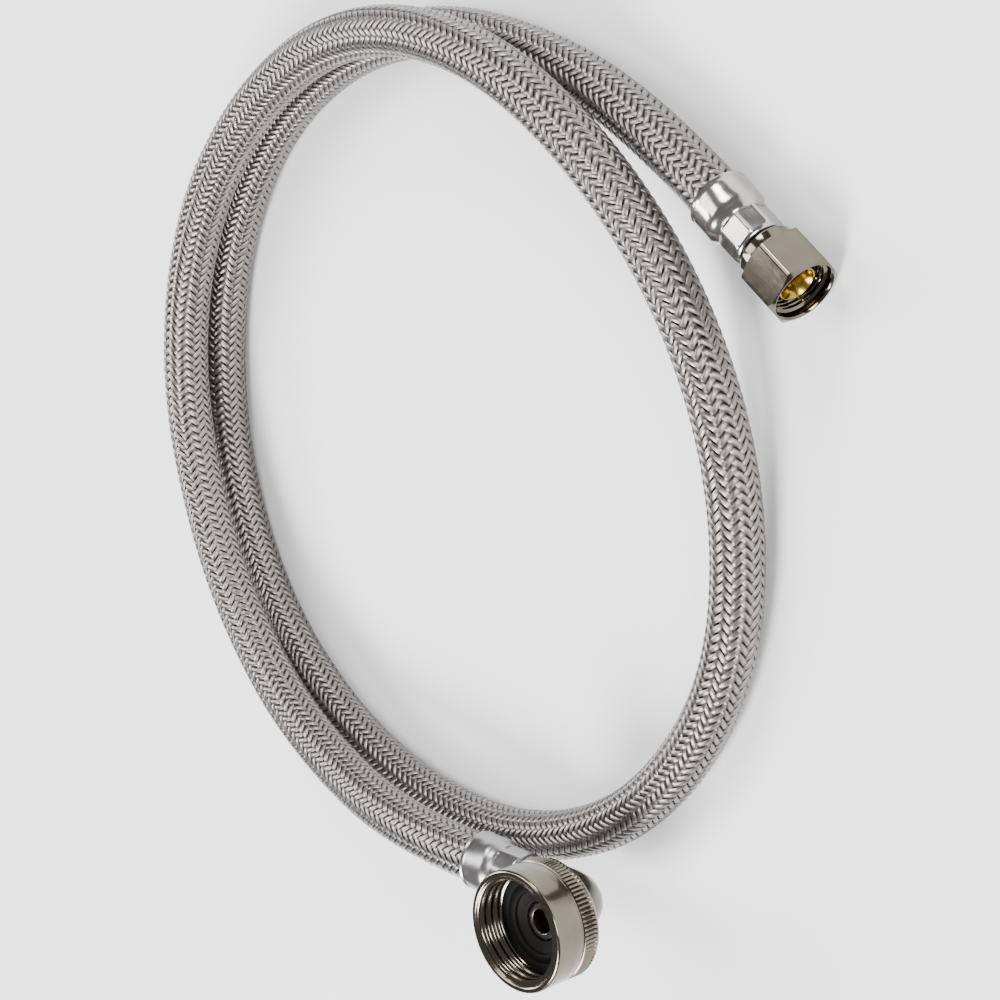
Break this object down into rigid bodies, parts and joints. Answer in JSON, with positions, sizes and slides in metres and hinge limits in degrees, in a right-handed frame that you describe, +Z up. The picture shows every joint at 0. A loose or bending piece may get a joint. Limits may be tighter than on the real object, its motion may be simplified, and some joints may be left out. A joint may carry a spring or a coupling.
{
  "type": "braided water supply line",
  "caption": "Coiled flexible water hose in a woven steel sleeve, with a small hex compression nut on one end and an elbow with a knurled hose thread nut on the other.",
  "frame": {"origin": "on the surface the coil lies on, midway between the two end fittings' outer limits in X and Y", "axes": "+Z up from that surface; +X is the way the compression nut points; +Y completes the right hand, from the elbow end towards the compression end"},
  "size_m": [0.2493, 0.24, 0.0454],
  "materials": {
    "wire_braid": "woven stainless wire",
    "yarn": "braided polyester yarn",
    "tube_rubber": "smooth extruded",
    "ferrule_steel": "crimped stainless, satin",
    "brass": "turned",
    "plated_nut": "bright nickel plate",
    "plated_elbow": "nickel plate over a casting",
    "washer_rubber": "moulded, matt"
  },
  "bodies": {
    "hose": {"hose_braid": "wire_braid", "yarn_sleeve": "yarn", "inner_tube": "tube_rubber", "compression_ferrule": "ferrule_steel", "compression_stem": "brass", "elbow_ferrule": "ferrule_steel", "elbow_insert": "brass", "elbow_body": "plated_elbow", "elbow_spud": "brass"},
    "compression_ring": {"compression_slip_ring": "brass"},
    "compression_nut": {"compression_nut": "plated_nut"},
    "hose_nut_ring": {"hose_nut_slip_ring": "brass"},
    "hose_nut": {"hose_nut": "plated_nut", "hose_washer": "washer_rubber"}
  },
  "joints": [
    {"name": "compression_nut_play", "type": "slide", "parent": "hose", "child": "compression_ring", "axis": [1, 0, 0], "range_m": [0, 0.0012]},
    {"name": "compression_nut_spin", "type": "hinge", "parent": "compression_ring", "child": "compression_nut", "pos_m": [-0.02, 0.0925, 0.0093], "axis": [1, 0, 0], "continuous": true},
    {"name": "hose_nut_play", "type": "slide", "parent": "hose", "child": "hose_nut_ring", "axis": [0.0876, 0.0547, 0.9946], "range_m": [0, 0.0008]},
    {"name": "hose_nut_spin", "type": "hinge", "parent": "hose_nut_ring", "child": "hose_nut", "pos_m": [0.0234, -0.07455, 0.01897], "axis": [0.0876, 0.0547, 0.9946], "continuous": true}
  ]
}
